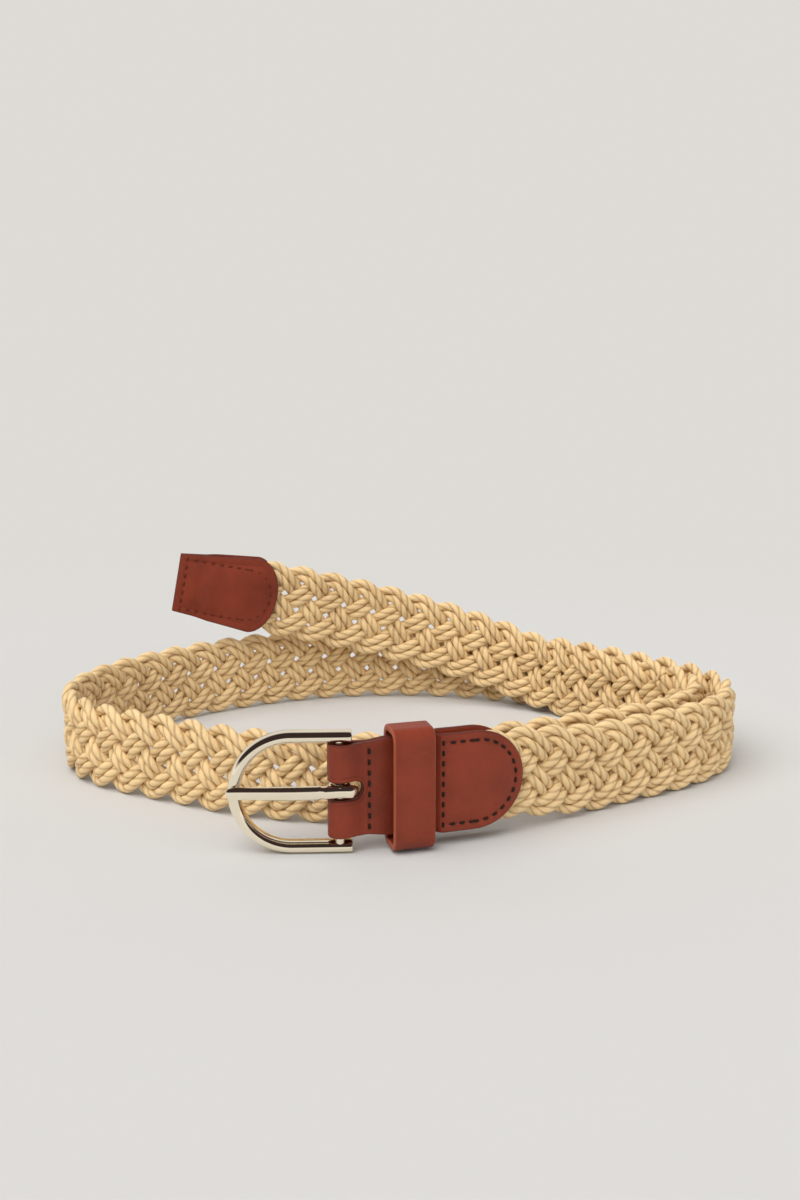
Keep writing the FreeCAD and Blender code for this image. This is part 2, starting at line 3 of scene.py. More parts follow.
import bpy
import numpy as np
from bpy.props import FloatProperty, FloatVectorProperty, IntProperty, PointerProperty
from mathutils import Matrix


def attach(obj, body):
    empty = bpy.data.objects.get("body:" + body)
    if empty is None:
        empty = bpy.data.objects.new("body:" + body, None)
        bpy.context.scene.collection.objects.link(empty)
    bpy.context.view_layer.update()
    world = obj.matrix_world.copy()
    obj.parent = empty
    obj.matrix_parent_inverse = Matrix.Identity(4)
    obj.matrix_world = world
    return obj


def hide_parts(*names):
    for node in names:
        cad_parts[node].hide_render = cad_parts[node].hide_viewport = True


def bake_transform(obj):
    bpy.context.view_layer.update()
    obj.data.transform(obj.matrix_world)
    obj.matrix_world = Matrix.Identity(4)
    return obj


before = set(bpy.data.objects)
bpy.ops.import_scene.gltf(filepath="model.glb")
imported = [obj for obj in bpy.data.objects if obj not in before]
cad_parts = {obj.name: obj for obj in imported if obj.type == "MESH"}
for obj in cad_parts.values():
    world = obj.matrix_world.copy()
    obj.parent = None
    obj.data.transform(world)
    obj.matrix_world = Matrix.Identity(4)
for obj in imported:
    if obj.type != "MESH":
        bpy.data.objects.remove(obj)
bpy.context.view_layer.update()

bl_info = {
    "name": "Braided belt",
    "version": (1, 0, 0),
    "blender": (4, 5, 0),
    "location": "View3D > Sidebar > Belt",
    "description": "Draws a braided cord belt with leather ends over its CAD frame",
    "category": "Add Mesh",
}

# Lengths in this file are in millimetres until a mesh is made. s runs along the belt from the
# buckle bar, n points out of the loop and h climbs the strap from its bottom edge.
MM = 0.001
TAU = 2.0 * math.pi

BAR_XY = (-17.9, -82.5)
ROUTE = np.array([
    BAR_XY, (-7.3, -79.6), (3.3, -76.6), (13.9, -73.7), (25.9, -69.5), (37.4, -64.1),
    (50, -56.4), (66, -45.8), (82, -36), (98, -25.4), (110.2, -13), (116, 2),
    (113, 17), (103.8, 30.5), (91, 43), (75.5, 56), (58, 68.5), (38, 78),
    (16, 83.5), (-8, 84.8), (-30, 81.5), (-50, 74.5), (-70, 63.5), (-88, 50),
    (-102.5, 34.5), (-112.5, 17), (-116, -1), (-109, -18), (-93, -31), (-74, -41),
    (-56, -50.3), (-37, -56.5), (-16, -58.5), (5, -56), (24, -50.8), (43, -43.5),
    (62, -35), (80, -26), (95, -14.5), (104, -1), (105, 12.5), (98.5, 25),
    (87.5, 35.5), (75, 46), (61, 56.8), (45, 66), (26, 72.5), (4, 75.2),
    (-18, 73.3), (-38, 68.6), (-56, 64), (-74, 60), (-90, 57),
])
LEATHER_HEADING = math.radians(15.92)
LEATHER_MIDDLE_Z = 19.75
FRONT_LIFT = 4.3
FRONT_LIFT_FROM_S = 50.0
FRONT_LIFT_TO_S = 92.0
TAIL_LIFT_FROM_S = 801.0
TAIL_RAMP = 24.0
TAIL_SLOPE = 0.27
TAIL_DROOP_FROM_END = 60.0
TAIL_DROOP = 0.08

STRAP_MIDDLE_H = 15.0          # half the strap's width

FRONT_FLEX_S = 96.0
TAIL_FLEX_S = 786.0
FLEX_REACH = 16.0              # each side of a flex
BRAID_START_S = 32.5
TAB_END_S = 57.0
TIP_LENGTH = 38.0
TIP_HOLDS_TO = 24.0
PLY_OFFSET = 0.21              # of a ply's middle from the cord's, as a share of the cord's radius
PLY_RADIUS = 0.795
GROOVE_SHARPNESS = 4.0
PRESSED = 0.64                 # the braid's thickness inside the leather, as a share of its own


def spline_derivatives(knots, values):
    """Slopes of the cubic through values, whose ends follow the cubic of their four nearest points."""
    count = len(knots)
    matrix = np.zeros((count, count))
    right = np.zeros((count, 2))
    step = np.diff(knots)
    rise = np.diff(values, axis=0) / step[:, None]
    for i in range(1, count - 1):
        matrix[i, i - 1:i + 2] = (step[i], 2.0 * (step[i - 1] + step[i]), step[i - 1])
        right[i] = 3.0 * (step[i] * rise[i - 1] + step[i - 1] * rise[i])
    for row, chosen in ((0, slice(0, 4)), (count - 1, slice(count - 4, count))):
        local = knots[chosen] - knots[row]
        matrix[row, row] = 1.0
        right[row] = np.linalg.solve(np.vander(local, 4), values[chosen])[2]
    return np.linalg.solve(matrix, right)


def sample_route(per_span=120):
    """Points and unit tangents close together along the cubic spline through ROUTE, and lengths."""
    knots = np.concatenate([[0.0], np.cumsum(np.linalg.norm(np.diff(ROUTE, axis=0), axis=1))])
    slopes = spline_derivatives(knots, ROUTE)
    t = np.linspace(0.0, 1.0, per_span, endpoint=False)[:, None]
    points = []
    tangents = []
    for i in range(len(ROUTE) - 1):
        span = knots[i + 1] - knots[i]
        a, b = ROUTE[i], ROUTE[i + 1]
        da, db = slopes[i] * span, slopes[i + 1] * span
        points.append(a * (2 * t**3 - 3 * t**2 + 1) + da * (t**3 - 2 * t**2 + t)
                      + b * (3 * t**2 - 2 * t**3) + db * (t**3 - t**2))
        tangents.append(a * (6 * t**2 - 6 * t) + da * (3 * t**2 - 4 * t + 1)
                        + b * (6 * t - 6 * t**2) + db * (3 * t**2 - 2 * t))
    points.append(ROUTE[-1:])
    tangents.append(slopes[-1:])
    points = np.concatenate(points)
    tangents = np.concatenate(tangents)
    tangents /= np.linalg.norm(tangents, axis=1)[:, None]
    lengths = np.concatenate([[0.0], np.cumsum(np.linalg.norm(np.diff(points, axis=0), axis=1))])
    return points, tangents, lengths


ROUTE_POINTS, ROUTE_TANGENTS, ROUTE_LENGTHS = sample_route()
BELT_END_S = float(ROUTE_LENGTHS[-1])
TIP_START_S = BELT_END_S - TIP_LENGTH
BRAID_END_S = TIP_START_S + TIP_HOLDS_TO


def smooth(share):
    """Rises smoothly from 0 to 1 as share does, and stays there outside that range."""
    share = np.clip(share, 0.0, 1.0)
    return share * share * (3.0 - 2.0 * share)


def tail_lift(s):
    along = np.maximum(s - TAIL_LIFT_FROM_S, 0.0)
    lift = np.where(along < TAIL_RAMP, TAIL_SLOPE * along**2 / (2.0 * TAIL_RAMP),
                    TAIL_SLOPE * (along - TAIL_RAMP / 2.0))
    droop = np.maximum(s - (BELT_END_S - TAIL_DROOP_FROM_END), 0.0)
    return lift - TAIL_DROOP * droop**2 / (2.0 * TAIL_DROOP_FROM_END)


def lift_at(s):
    share = np.clip((s - FRONT_LIFT_FROM_S) / (FRONT_LIFT_TO_S - FRONT_LIFT_FROM_S), 0.0, 1.0)
    front = FRONT_LIFT * (1.0 - share)**2 * (1.0 + 2.0 * share)
    return np.where(s > FRONT_LIFT_TO_S, tail_lift(s), front)


def climb_at(s):
    """The angle at which the free end climbs."""
    step = 0.5
    rise = tail_lift(np.minimum(s + step, BELT_END_S)) - tail_lift(s - step)
    run = np.minimum(s + step, BELT_END_S) - (s - step)
    return np.where(s <= TAIL_LIFT_FROM_S, 0.0, np.arctan(rise / run))


def belt_point(s, n, h):
    """Points of the belt in the row frame: C(s) + n N(s) + h U(s), lifted by lift(s)."""
    s, n, h = np.broadcast_arrays(np.asarray(s, float), n, h)
    x, y = (np.interp(s, ROUTE_LENGTHS, ROUTE_POINTS[:, i]) for i in (0, 1))
    tx, ty = (np.interp(s, ROUTE_LENGTHS, ROUTE_TANGENTS[:, i]) for i in (0, 1))
    size = np.hypot(tx, ty)
    tx, ty = tx / size, ty / size
    beyond = np.maximum(s - BELT_END_S, 0.0)
    climb = climb_at(s)
    side = np.sin(climb) * h
    return np.stack([x + beyond * tx + n * ty - side * tx, y + beyond * ty - n * tx - side * ty,
                     lift_at(s) + np.cos(climb) * h], axis=-1)


def leather_point(x, y, z):
    """Points given along the leather from the bar, into the loop, and up from the floor."""
    cos, sin = math.cos(LEATHER_HEADING), math.sin(LEATHER_HEADING)
    return np.stack([BAR_XY[0] + x * cos - y * sin, BAR_XY[1] + x * sin + y * cos, z + 0.0 * x], axis=-1)


def buckle_point(x, y, z, heading=math.radians(2.0)):
    cos, sin = math.cos(heading), math.sin(heading)
    return np.stack([BAR_XY[0] + x * cos - y * sin, BAR_XY[1] + x * sin + y * cos, z + 0.0 * x], axis=-1)


# Surfaces

class Surface:
    """A closed sheet of quads made of rings of points, ready to join with others in one mesh."""

    def __init__(self, rings, looped=False, uv=None, **values):
        rows, columns = rings.shape[:2]
        self.points = rings.reshape(-1, 3)
        self.values = {key: np.broadcast_to(v, (rows, columns)).reshape(-1) for key, v in values.items()}
        last = rows if looped else rows - 1
        i = np.arange(last)[:, None]
        j = np.arange(columns)[None, :]
        down = (i + 1) % rows
        right = (j + 1) % columns
        self.quads = np.stack([i * columns + j, down * columns + j, down * columns + right,
                               i * columns + right], axis=-1).reshape(-1, 4)
        if uv is None:
            uv = (np.arange(rows + 1), 1.0)
        along = np.asarray(uv[0], float)
        if len(along) == rows:
            along = np.append(along, along[-1])
        i, j = np.broadcast_arrays(i, j)
        self.quad_uv = np.stack([
            np.stack([along[i], j / columns], -1), np.stack([along[i + 1], j / columns], -1),
            np.stack([along[i + 1], (j + 1) / columns], -1), np.stack([along[i], (j + 1) / columns], -1),
        ], axis=2).reshape(-1, 4, 2)
        self.tris = np.zeros((0, 3), int)
        if not looped:
            self.cap(0, columns, flip=True)
            self.cap((rows - 1) * columns, columns, flip=False)
        self.face_outwards()

    def cap(self, first, columns, flip):
        ring = np.arange(first, first + columns)
        centre = len(self.points)
        self.points = np.vstack([self.points, self.points[ring].mean(axis=0)])
        for key in self.values:
            self.values[key] = np.append(self.values[key], self.values[key][ring].mean())
        fan = np.stack([np.full(columns, centre), ring, np.roll(ring, -1)], axis=-1)
        self.tris = np.vstack([self.tris, fan if flip else fan[:, ::-1]])

    def face_outwards(self):
        p = self.points - self.points.mean(axis=0)
        faces = np.vstack([self.quads[:, :3], self.quads[:, [0, 2, 3]], self.tris])
        a, b, c = (p[faces[:, k]] for k in range(3))
        if np.einsum("ij,ij->i", a, np.cross(b, c)).sum() < 0.0:
            self.quads = self.quads[:, ::-1]
            self.quad_uv = self.quad_uv[:, ::-1]
            self.tris = self.tris[:, ::-1]


def join(name, surfaces, material, sharp=math.radians(42.0)):
    """One smooth mesh object of several surfaces, in metres."""
    starts = np.cumsum([0] + [len(s.points) for s in surfaces])
    points = np.vstack([s.points for s in surfaces]) * MM
    quads = np.vstack([s.quads + start for s, start in zip(surfaces, starts)])
    tris = np.vstack([s.tris + start for s, start in zip(surfaces, starts)])
    corners = np.concatenate([quads.ravel(), tris.ravel()]).astype(np.int32)
    sizes = np.concatenate([np.full(len(quads), 4), np.full(len(tris), 3)])
    mesh = bpy.data.meshes.new(name)
    mesh.vertices.add(len(points))
    mesh.vertices.foreach_set("co", points.ravel().astype(np.float32))
    mesh.loops.add(len(corners))
    mesh.loops.foreach_set("vertex_index", corners)
    mesh.polygons.add(len(sizes))
    begins = np.concatenate([[0], np.cumsum(sizes)[:-1]]).astype(np.int32)
    mesh.polygons.foreach_set("loop_start", begins)
    mesh.update(calc_edges=True)
    uv = np.concatenate([np.vstack([s.quad_uv.reshape(-1, 2) for s in surfaces]),
                         np.zeros((3 * len(tris), 2))])
    mesh.uv_layers.new(name="along").data.foreach_set("uv", uv.ravel().astype(np.float32))
    for key in surfaces[0].values:
        layer = mesh.attributes.new(key, "FLOAT", "POINT")
        values = np.concatenate([s.values[key] for s in surfaces])
        layer.data.foreach_set("value", values.astype(np.float32))
    mesh.shade_smooth()
    mesh.set_sharp_from_angle(angle=sharp)
    mesh.validate()
    mesh.materials.append(material)
    obj = bpy.data.objects.new(name, mesh)
    bpy.context.scene.collection.objects.link(obj)
    return obj


def rounded_section(width, depth, radius, arc=6, flat=4):
    """Points round a rectangle with round corners, in order, as (across, through)."""
    radius = min(radius, width / 2.0 - 0.01, depth / 2.0 - 0.01)
    points = []
    for corner, (cx, cy) in enumerate(((1, 1), (-1, 1), (-1, -1), (1, -1))):
        centre = np.array([cx * (width / 2.0 - radius), cy * (depth / 2.0 - radius)])
        turn = math.pi / 2.0 * (corner + np.linspace(0.0, 1.0, arc))
        points.append(centre + radius * np.stack([np.cos(turn), np.sin(turn)], -1))
    section = []
    for k in range(4):
        section.append(points[k])
        begin, end = points[k][-1], points[(k + 1) % 4][0]
        share = np.linspace(0.0, 1.0, flat + 1)[1:-1, None]
        section.append(begin + (end - begin) * share)
    return np.concatenate(section)


# Shader helpers

class Socket:
    """A shader output that can be added, multiplied and mixed like a number."""

    def __init__(self, tree, output):
        self.tree = tree
        self.output = output

    def node(self, kind, output=0, settings=(), **inputs):
        """The given output of a new node. settings are its own properties, inputs its sockets."""
        made = self.tree.nodes.new(kind)
        for key, value in dict(settings).items():
            setattr(made, key, value)
        for key, value in inputs.items():
            feed(self.tree, made.inputs[int(key[1:]) if key[0] == "_" else key.replace("_", " ")], value)
        return Socket(self.tree, made.outputs[output])

    def math(self, operation, *others):
        inputs = {"_" + str(i + 1): other for i, other in enumerate(others)}
        return self.node("ShaderNodeMath", 0, {"operation": operation}, _0=self, **inputs)

    def __add__(self, other):
        return self.math("ADD", other)

    __radd__ = __add__

    def __mul__(self, other):
        return self.math("MULTIPLY", other)

    __rmul__ = __mul__

    def __sub__(self, other):
        return self.math("SUBTRACT", other)

    def __rsub__(self, other):
        return self * -1.0 + other

    def clamp(self):
        return self.math("MINIMUM", 1.0).math("MAXIMUM", 0.0)

    def mix(self, low, high):
        """The colour low where this is 0, and high where it is 1."""
        return self.node("ShaderNodeMix", 2, {"data_type": "RGBA"}, _0=self, _6=low, _7=high)


def feed(tree, socket, value):
    if isinstance(value, Socket):
        tree.links.new(value.output, socket)
    elif isinstance(value, (int, float)):
        socket.default_value = value
    else:
        size = len(socket.default_value)
        socket.default_value = (tuple(value) + (1.0,))[:size]


def new_material(name):
    material = bpy.data.materials.new(name)
    material.use_nodes = True
    tree = material.node_tree
    shader = tree.nodes["Principled BSDF"]
    coordinates = tree.nodes.new("ShaderNodeTexCoord")
    return material, tree, shader, Socket(tree, coordinates.outputs["Object"])


def noise(coordinates, scale, detail=2.0, roughness=0.5):
    return coordinates.node("ShaderNodeTexNoise", 0, (), Vector=coordinates, Scale=scale, Detail=detail,
                            Roughness=roughness)


def attribute(tree, name):
    made = tree.nodes.new("ShaderNodeAttribute")
    made.attribute_name = name
    return Socket(tree, made.outputs["Fac"])


def bump(height, distance, strength=1.0):
    inputs = {"Height": height, "Distance": distance, "Strength": strength}
    return height.node("ShaderNodeBump", 0, (), **inputs)


def scaled(colour, factor):
    return tuple(channel * factor for channel in colour)


def leather_material(name, colour, edge_colour):
    """Smooth waxed leather: a fine pebbled grain, soft mottling and a paler or darker cut edge."""
    material, tree, shader, place = new_material(name)
    mottle = noise(place, 70.0, 3.0)
    pebble = place.node("ShaderNodeTexVoronoi", 0, {"feature": "SMOOTH_F1"}, Vector=place, Scale=1500.0)
    fine = noise(place, 2600.0, 2.0)
    tone = ((mottle - 0.5) * 1.6 + (fine - 0.5) * 0.5 + 0.5).clamp()
    body = tone.mix(scaled(colour, 0.68), scaled(colour, 1.26))
    feed(tree, shader.inputs["Base Color"], attribute(tree, "edge").mix(body, edge_colour))
    feed(tree, shader.inputs["Roughness"], (mottle - 0.5) * 0.25 + (fine - 0.5) * 0.2 + 0.46)
    shader.inputs["Specular IOR Level"].default_value = 0.32
    feed(tree, shader.inputs["Normal"], bump(pebble * 0.6 + fine * 0.5 + mottle * 1.2, 0.00016, 0.8))
    return material


def cord_material(name, crest, groove_shade):
    """Waxed twisted cord: painted shade darkens it between the plies, with fine fibres along each ply."""
    material, tree, shader, place = new_material(name)
    along = tree.nodes.new("ShaderNodeUVMap")
    along.uv_map = "along"
    uv = Socket(tree, along.outputs[0])
    stretched = uv.node("ShaderNodeVectorMath", 0, {"operation": "MULTIPLY"}, _0=uv, _1=(0.55, 34.0, 0.0))
    fibre = noise(stretched, 1.0, 3.0, 0.65)
    tone = noise(place, 90.0, 2.0)
    speck = noise(place, 900.0, 2.0)
    # The 'depth' attribute is a painted shade mask: 1 in the hollows between the plies, where shade falls.
    depth = attribute(tree, "depth")
    shade = (depth * 0.6 + (fibre - 0.5) * 0.9 + (tone - 0.5) * 0.8 + (speck - 0.5) * 0.5).clamp()
    feed(tree, shader.inputs["Base Color"], shade.mix(crest, groove_shade))
    feed(tree, shader.inputs["Roughness"], (fibre - 0.5) * 0.3 + (speck - 0.5) * 0.2 + 0.46)
    feed(tree, shader.inputs["Normal"], bump(fibre, 0.00022, 0.9))
    return material


def metal_material(name, colour, roughness):
    material, tree, shader, place = new_material(name)
    shader.inputs["Metallic"].default_value = 1.0
    haze = noise(place, 120.0, 2.0)
    feed(tree, shader.inputs["Base Color"], haze.mix(scaled(colour, 0.95), scaled(colour, 1.04)))
    feed(tree, shader.inputs["Roughness"], (haze - 0.5) * 0.08 + roughness)
    return material


def thread_material(name, colour):
    material, tree, shader, place = new_material(name)
    fuzz = noise(place, 3000.0, 2.0)
    feed(tree, shader.inputs["Base Color"], fuzz.mix(scaled(colour, 0.6), scaled(colour, 1.4)))
    shader.inputs["Roughness"].default_value = 0.6
    shader.inputs["Specular IOR Level"].default_value = 0.15
    return material


# Settings

def length_property(name, description, millimetres):
    return FloatProperty(name=name, description=description, default=millimetres * MM, unit="LENGTH",
                         subtype="DISTANCE", precision=4)


def colour_property(name, description, colour):
    return FloatVectorProperty(name=name, description=description, default=colour, size=3,
                               subtype="COLOR", min=0.0, max=1.0)


class BraidSettings(bpy.types.PropertyGroup):
    width: length_property("Width", "Height of the standing strap", 30.0)
    cord: length_property("Cord", "Diameter of each cord", 3.35)
    pitch: length_property("Pitch", "Distance along the strap between strands", 11.8)
    lay: length_property("Lay", "Length of one turn of a cord's plies", 11.5)
    strands: IntProperty(name="Strands", description="Strands in the braid, two cords each", default=5)
    crest: colour_property("Crest", "Cord colour where it stands proud", (0.85, 0.62, 0.32))
    # painted shade: a darker cord colour for the hollows between the plies
    groove_shade: colour_property("Groove", "Cord colour between the plies", (0.40, 0.22, 0.08))


class LeatherSettings(bpy.types.PropertyGroup):
    thickness: length_property("Thickness", "Thickness of each leaf at the buckle", 1.9)
    tip_thickness: length_property("Tip thickness", "Thickness of each leaf at the tip", 1.7)
    keeper_thickness: length_property("Keeper thickness", "Thickness of the keeper's wall", 2.0)
    keeper_width: length_property("Keeper width", "Width of the keeper along the belt", 12.7)
    stitch: length_property("Stitch", "Length of one stitch", 1.8)
    stitch_pitch: length_property("Stitch pitch", "Distance between stitches", 3.1)
    colour: colour_property("Leather", "Colour of the leather", (0.22, 0.033, 0.0125))
    cut_edge: colour_property("Cut edge", "Colour of the keeper's cut edges", (0.34, 0.085, 0.04))
    worn_edge: colour_property("Burnished edge", "Colour of the leaves' edges", (0.10, 0.02, 0.012))
    thread: colour_property("Thread", "Colour of the dark thread", (0.022, 0.014, 0.010))
    tip_thread: colour_property("Tip thread", "Colour of the tip's thread", (0.125, 0.026, 0.012))


class BuckleSettings(bpy.types.PropertyGroup):
    height: length_property("Height", "Height of the ring", 38.1)
    length: length_property("Length", "Curved end to the ends of the arms", 37.0)
    depth: length_property("Depth", "Thickness of the ring, front to back", 4.0)
    rim: length_property("Rim", "Width of the ring's wall", 3.9)
    colour: colour_property("Metal", "Colour of the plated metal", (0.97, 0.88, 0.70))


class StageSettings(bpy.types.PropertyGroup):
    floor: colour_property("Floor", "Colour of the floor by the belt", (0.59, 0.583, 0.565))
    paper: colour_property("Paper", "Tone of the floor and backdrop further out", (0.730, 0.708, 0.672))
    light: FloatProperty(name="Light", description="Strength of the surrounding light", default=0.85)


# Braid

def crossing_phase(u):
    """Angle whose cosine is 1 where a strand lies over the others and -1 where it lies under."""
    places = np.array([-0.1, 0.1, 0.2, 0.3, 0.4, 0.6, 0.7, 0.8, 0.9, 1.1])
    return math.pi * np.interp(u, places, np.arange(len(places)) - 1.0)


EDGE_ROUNDING = 0.93
SWING = 0.86                   # cords press into each other where they cross


def strand_path(start, end, strand, settings):
    """One strand's middle in the flat braid, as s, n and h.

    h is an arcsine-rounded zigzag between the edges with period 5 pitches, and n swings over and
    under: n = swing * cos(phase(u)), with u = s / period + strand / 5."""
    cord = settings.cord / MM
    width = settings.width / MM
    period = settings.strands * settings.pitch / MM
    s = np.arange(start, end, 0.25)
    u = np.mod(s / period + strand / settings.strands, 1.0)
    swing = np.arcsin(EDGE_ROUNDING * np.cos(TAU * u)) / math.asin(EDGE_ROUNDING)
    h = width / 2.0 + (width / 2.0 - cord) * swing
    n = SWING * cord / 2.0 * np.cos(crossing_phase(u))
    return s, n, h


def cord_surface(s, n, h, settings, spacing, sides):
    """A three-ply tube along a flat path, squeezed inside the leather and bent on to the belt.

    r(a) = c cos(b) + sqrt(p^2 - c^2 sin(b)^2), b the angle from the nearest ply, turning with
    the length along the path."""
    radius = settings.cord / MM / 2.0
    path = np.stack([s, n, h], -1)
    lengths = np.concatenate([[0.0], np.cumsum(np.linalg.norm(np.diff(path, axis=0), axis=1))])
    count = int(lengths[-1] / spacing) + 2
    at = np.linspace(0.0, lengths[-1], count)
    centre = np.stack([np.interp(at, lengths, path[:, k]) for k in range(3)], -1)
    tangent = np.gradient(centre, at, axis=0)
    tangent /= np.linalg.norm(tangent, axis=1)[:, None]
    outward = np.array([0.0, 1.0, 0.0])
    first = outward - tangent * (tangent @ outward)[:, None]
    first /= np.linalg.norm(first, axis=1)[:, None]
    second = np.cross(tangent, first)
    angle = TAU * np.arange(sides) / sides
    ply = TAU / 3.0
    off = np.mod(angle + ply / 2.0, ply) - ply / 2.0
    offset, size = PLY_OFFSET * radius, PLY_RADIUS * radius
    round_ply = offset * np.cos(off) + np.sqrt(size**2 - (offset * np.sin(off))**2)
    depth = 1.0 - (round_ply - round_ply.min()) / (round_ply.max() - round_ply.min())
    turned = angle[None, :] - (TAU * at / (settings.lay / MM))[:, None]
    ring = (centre[:, None] + round_ply[None, :, None]
            * (np.cos(turned)[..., None] * first[:, None] + np.sin(turned)[..., None] * second[:, None]))
    where, out, up = ring[..., 0], ring[..., 1], ring[..., 2]
    held = np.maximum(smooth((TAB_END_S + 3.0 - where) / 4.0), smooth((where - TIP_START_S + 3.0) / 4.0))
    out = out * (1.0 - held * (1.0 - PRESSED))
    middle = settings.width / MM / 2.0
    squeezed = 0.15 * smooth((where - TIP_START_S) / (BRAID_END_S - TIP_START_S))
    up = middle + (up - middle) * (1.0 - squeezed) * (1.0 - 0.01 * held)
    # Painted shade mask, 1 in the hollows between the plies, stored as the 'depth' attribute.
    groove_shade = np.broadcast_to(depth, where.shape)**GROOVE_SHARPNESS
    return Surface(belt_point(where, out, up), uv=(at, 1.0), depth=groove_shade)


def strand_object(name, start, end, strand, settings, material, spacing=0.8, sides=21):
    s, n, h = strand_path(start, end, strand, settings)
    ds, dh = np.gradient(s), np.gradient(h)
    size = np.hypot(ds, dh)
    half = settings.cord / MM / 2.0 * 0.96
    cords = []
    for side in (-half, half):
        cords.append(cord_surface(s - side * dh / size, n, h + side * ds / size, settings, spacing, sides))
    return join(name, cords, material, math.pi)


def metre_point(s):
    return tuple(float(v) for v in belt_point(s, 0.0, STRAP_MIDDLE_H) * MM)


START_SPLIT_S = FRONT_FLEX_S + FLEX_REACH + 8.0
TAIL_SPLIT_S = TAIL_FLEX_S - FLEX_REACH - 8.0


class BELT_OT_braid(bpy.types.Operator):
    """Draws the ten cords of the braid, in three lengths that meet away from the flexes"""
    bl_idname = "belt.braid"
    bl_label = "Braid"

    def execute(self, context):
        settings = context.scene.belt_braid
        material = cord_material("waxed cord", settings.crest, settings.groove_shade)
        lengths = (("start", BRAID_START_S, START_SPLIT_S, "braid_start"),
                   ("coil", START_SPLIT_S, TAIL_SPLIT_S, "braid_coil"),
                   ("tail", TAIL_SPLIT_S, BRAID_END_S - 1.5, "braid_tail"))
        for part, start, end, node in lengths:
            for strand in range(settings.strands):
                name = "cords_%s_%d" % (part, strand + 1)
                obj = strand_object(name, start, end, strand, settings, material)
                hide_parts(node)
                if part == "start":
                    metre_point(FRONT_FLEX_S + FLEX_REACH)
                    metre_point(FRONT_FLEX_S - FLEX_REACH)
                    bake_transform(obj)
                elif part == "tail":
                    metre_point(TAIL_FLEX_S - FLEX_REACH)
                    metre_point(TAIL_FLEX_S + FLEX_REACH)
                    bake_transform(obj)
                else:
                    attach(obj, "coil")
        return {"FINISHED"}


# Leather

def edge_profile(distance, radius):
    """1 well inside an outline, falling to 0 at it as a squarish quarter round."""
    share = np.clip(1.0 - distance / radius, 0.0, 1.0)
    return (1.0 - share**2.4)**(1.0 / 2.4)


def leaf(rows, low, high, distance, thickness, place, relief, columns=64, radius=0.8):
    """A leaf of leather between low(u) and high(u), for each u of rows.

    place(u, v, b) puts a point b above the leaf's middle, and relief(u, v) raises its face."""
    share = (1.0 - np.cos(math.pi * np.linspace(0.0, 1.0, columns))) / 2.0
    share = 0.5 * share + 0.5 * np.linspace(0.0, 1.0, columns)
    u = np.broadcast_to(rows[:, None], (len(rows), columns))
    v = low(rows)[:, None] + (high(rows) - low(rows))[:, None] * share[None, :]
    inside = distance(u, v)
    swell = edge_profile(inside, radius)
    top = place(u, v, swell * thickness / 2.0 + relief(u, v) * swell)
    bottom = place(u, v, -swell * thickness / 2.0)
    rings = np.concatenate([top, bottom[:, ::-1]], axis=1)
    edge = 1.0 - smooth(inside / radius * 1.2)
    return Surface(rings, edge=np.concatenate([edge, edge[:, ::-1]], axis=1))


def clustered(start, end, spacing, fine_start=False, fine_end=False):
    """Stations from start to end, closer together towards a rounded end."""
    count = int(abs(end - start) / spacing) + 2
    t = np.linspace(0.0, 1.0, count)
    if fine_end:
        t = np.sin(math.pi / 2.0 * t)**1.0 * 0.7 + t * 0.3
    if fine_start:
        t = (1.0 - np.cos(math.pi / 2.0 * t)) * 0.7 + t * 0.3
    return start + (end - start) * t


FOLD_HALF = 14.45
BILLET_HALF = 15.4
TAB_HALF = 15.6
STITCH_INSET = 2.7
TAB_LEAVES_S = 31.0
BILLET_END_S = 27.6
TAB_ROUND_S = TAB_END_S - TAB_HALF
OPEN_HALF = 2.0
HIDDEN_S = 20.95               # the pieces of the strip meet under the keeper
SLOT_HALF = 2.8
SLOT_RAISE = 0.1               # above the leather's middle
STITCH_LINE_S = 8.6
FOLD_STITCH_PROUD = 0.06       # of a stitch's middle from the leather's face
TAB_STITCH_SUNK = 0.12
SLOT_ROUND_X = 4.0
OUTLINE_OFFSET = 1.35


def leather_half(s):
    return np.interp(s, [STITCH_LINE_S, 15.0, TAB_LEAVES_S], [FOLD_HALF, BILLET_HALF, TAB_HALF])


def pillow(inside):
    """Leather drawn down along a seam and padded inside it; inside is the distance in from the seam."""
    return 0.45 * smooth(inside / 4.0) - 0.22 * np.exp(-(inside / 0.5)**2)


def tab_distance(s, v):
    """Distance in from the tab's outline, v measured from its middle."""
    return np.where(s < TAB_ROUND_S, leather_half(s) - np.abs(v), TAB_HALF - np.hypot(s - TAB_ROUND_S, v))


def tab_opening(s):
    return OPEN_HALF * smooth((s - BILLET_END_S) / (TAB_LEAVES_S - BILLET_END_S))


def tab_leaf(side, thickness):
    """One leaf of the tab: a half stadium, bedded on the braid's end."""
    def high(s):
        ahead = np.clip(s - TAB_ROUND_S, 0.0, TAB_HALF)
        return np.minimum(leather_half(s), np.sqrt(np.maximum(TAB_HALF**2 - ahead**2, 1e-4)))

    def place(s, v, b):
        n = side * (tab_opening(s) + thickness / 2.0 + b)
        return belt_point(s, n, LEATHER_MIDDLE_Z - lift_at(s) + v)

    def relief(s, v):
        return pillow(np.minimum(tab_distance(s, v) - STITCH_INSET, s - TAB_LEAVES_S))

    rows = np.concatenate([np.arange(HIDDEN_S, TAB_ROUND_S, 0.35),
                           clustered(TAB_ROUND_S, TAB_END_S, 0.3, fine_end=True)])
    return leaf(rows, lambda s: -high(s), high, tab_distance, thickness, place, relief, 90)


